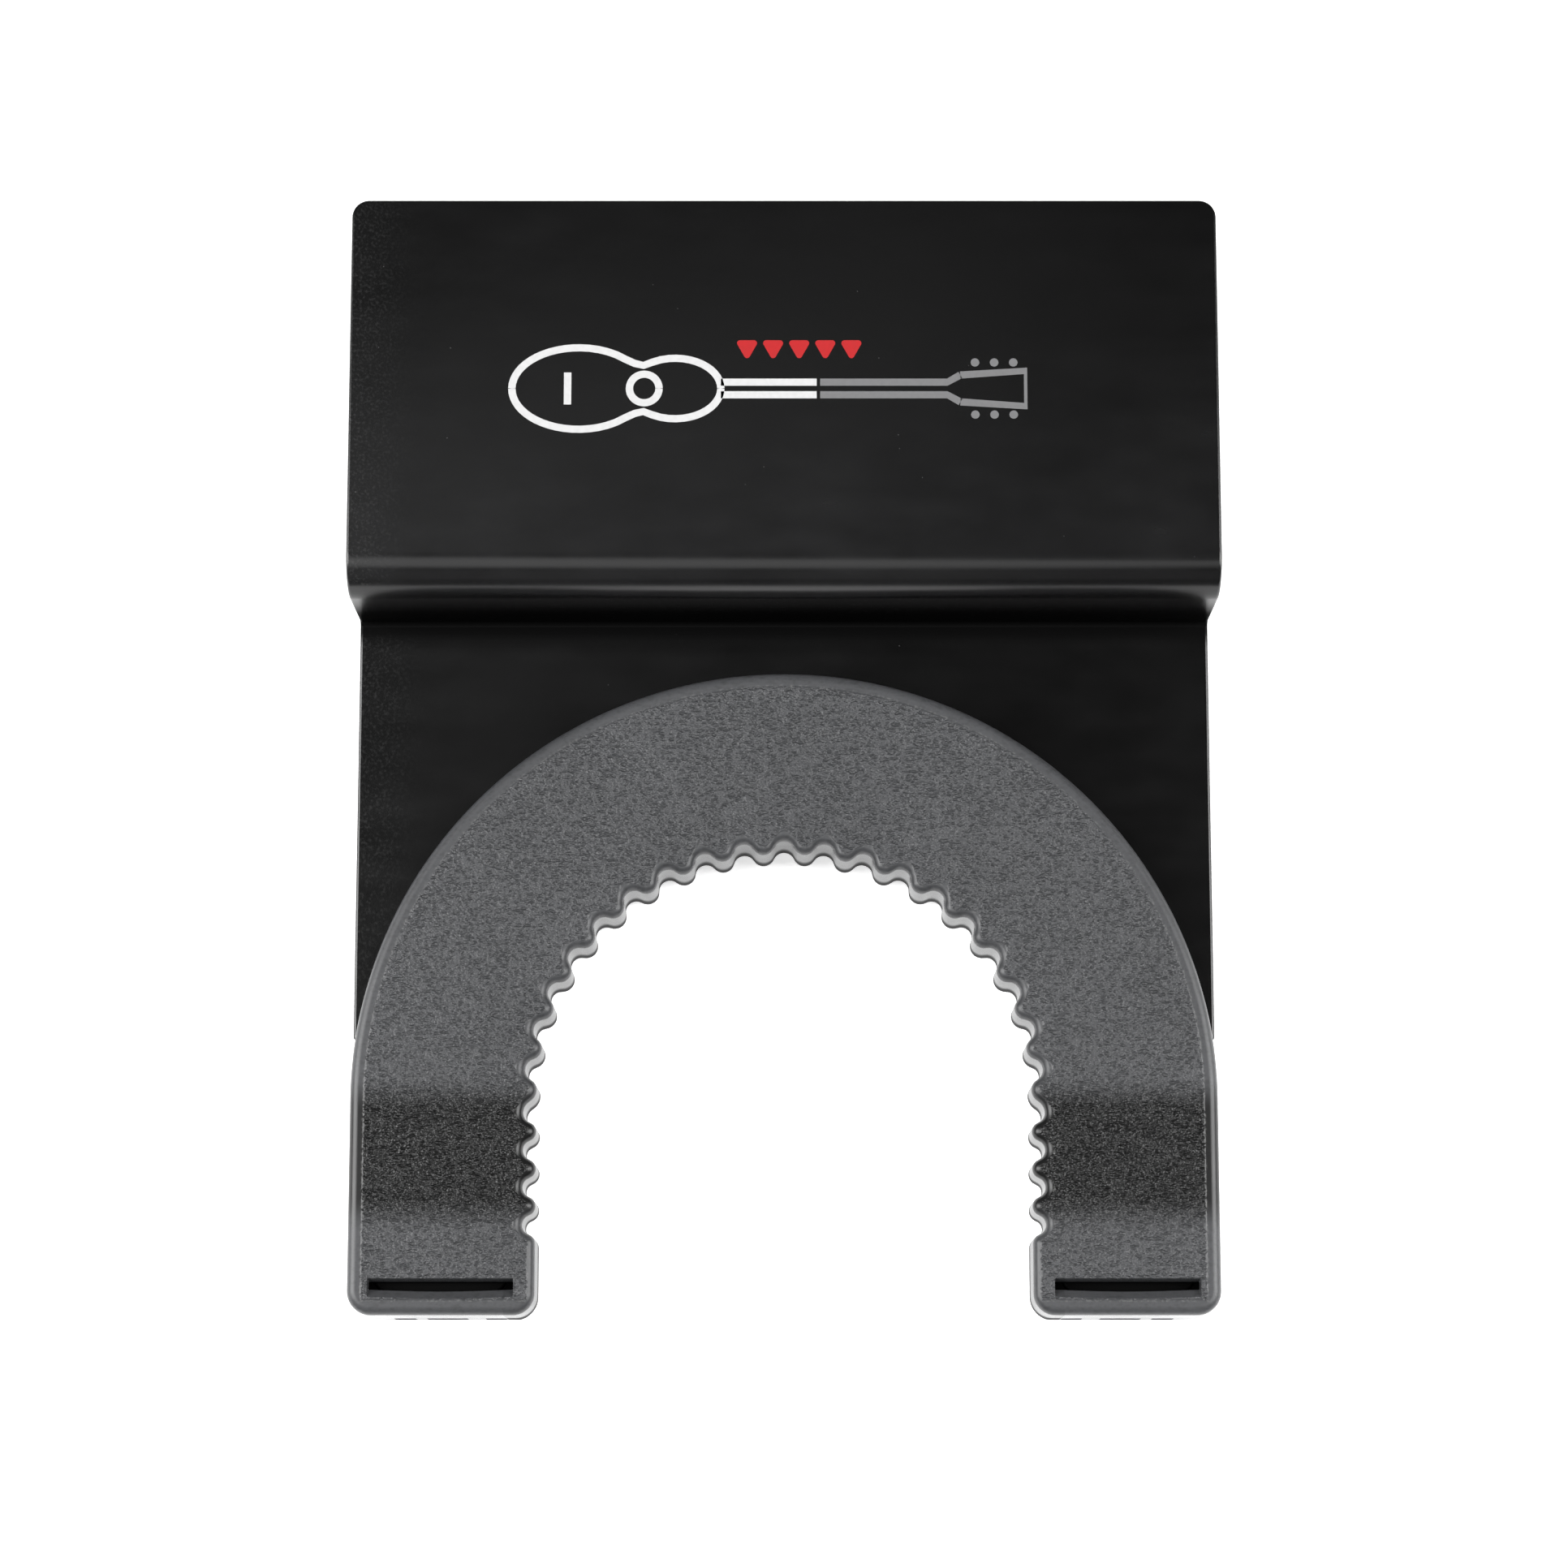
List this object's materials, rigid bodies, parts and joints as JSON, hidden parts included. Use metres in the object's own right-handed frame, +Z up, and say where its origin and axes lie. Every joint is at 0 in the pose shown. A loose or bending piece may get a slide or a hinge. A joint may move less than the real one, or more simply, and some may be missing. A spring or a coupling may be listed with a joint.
{
  "type": "guitar rest yoke",
  "caption": "Steel bracket bent in a step, whose raised plate rests on a shelf, with a scalloped horseshoe rubber boot on its fork that holds a guitar by the neck.",
  "frame": {"origin": "centre of the underside of the pad under the raised plate, the face that lies on a shelf", "axes": "+Z up in use, off the shelf; +Y towards the raised plate's rear edge, over the shelf; the yoke hangs out on the -Y side, and its mouth opens towards -Y; X across"},
  "size_m": [0.1, 0.1281, 0.0245],
  "materials": {
    "black_powder_coat": "smooth semi-gloss black powder coat on steel sheet",
    "grey_boot_rubber": "moulded rubber with a fine leather grain and a smooth rim",
    "black_pad_rubber": "matt anti-slip sheet rubber"
  },
  "bodies": {
    "root": {"bracket_plate": "black_powder_coat", "yoke_boot": "grey_boot_rubber", "raised_plate_pad": "black_pad_rubber", "step_bumper": "black_pad_rubber"}
  },
  "joints": []
}
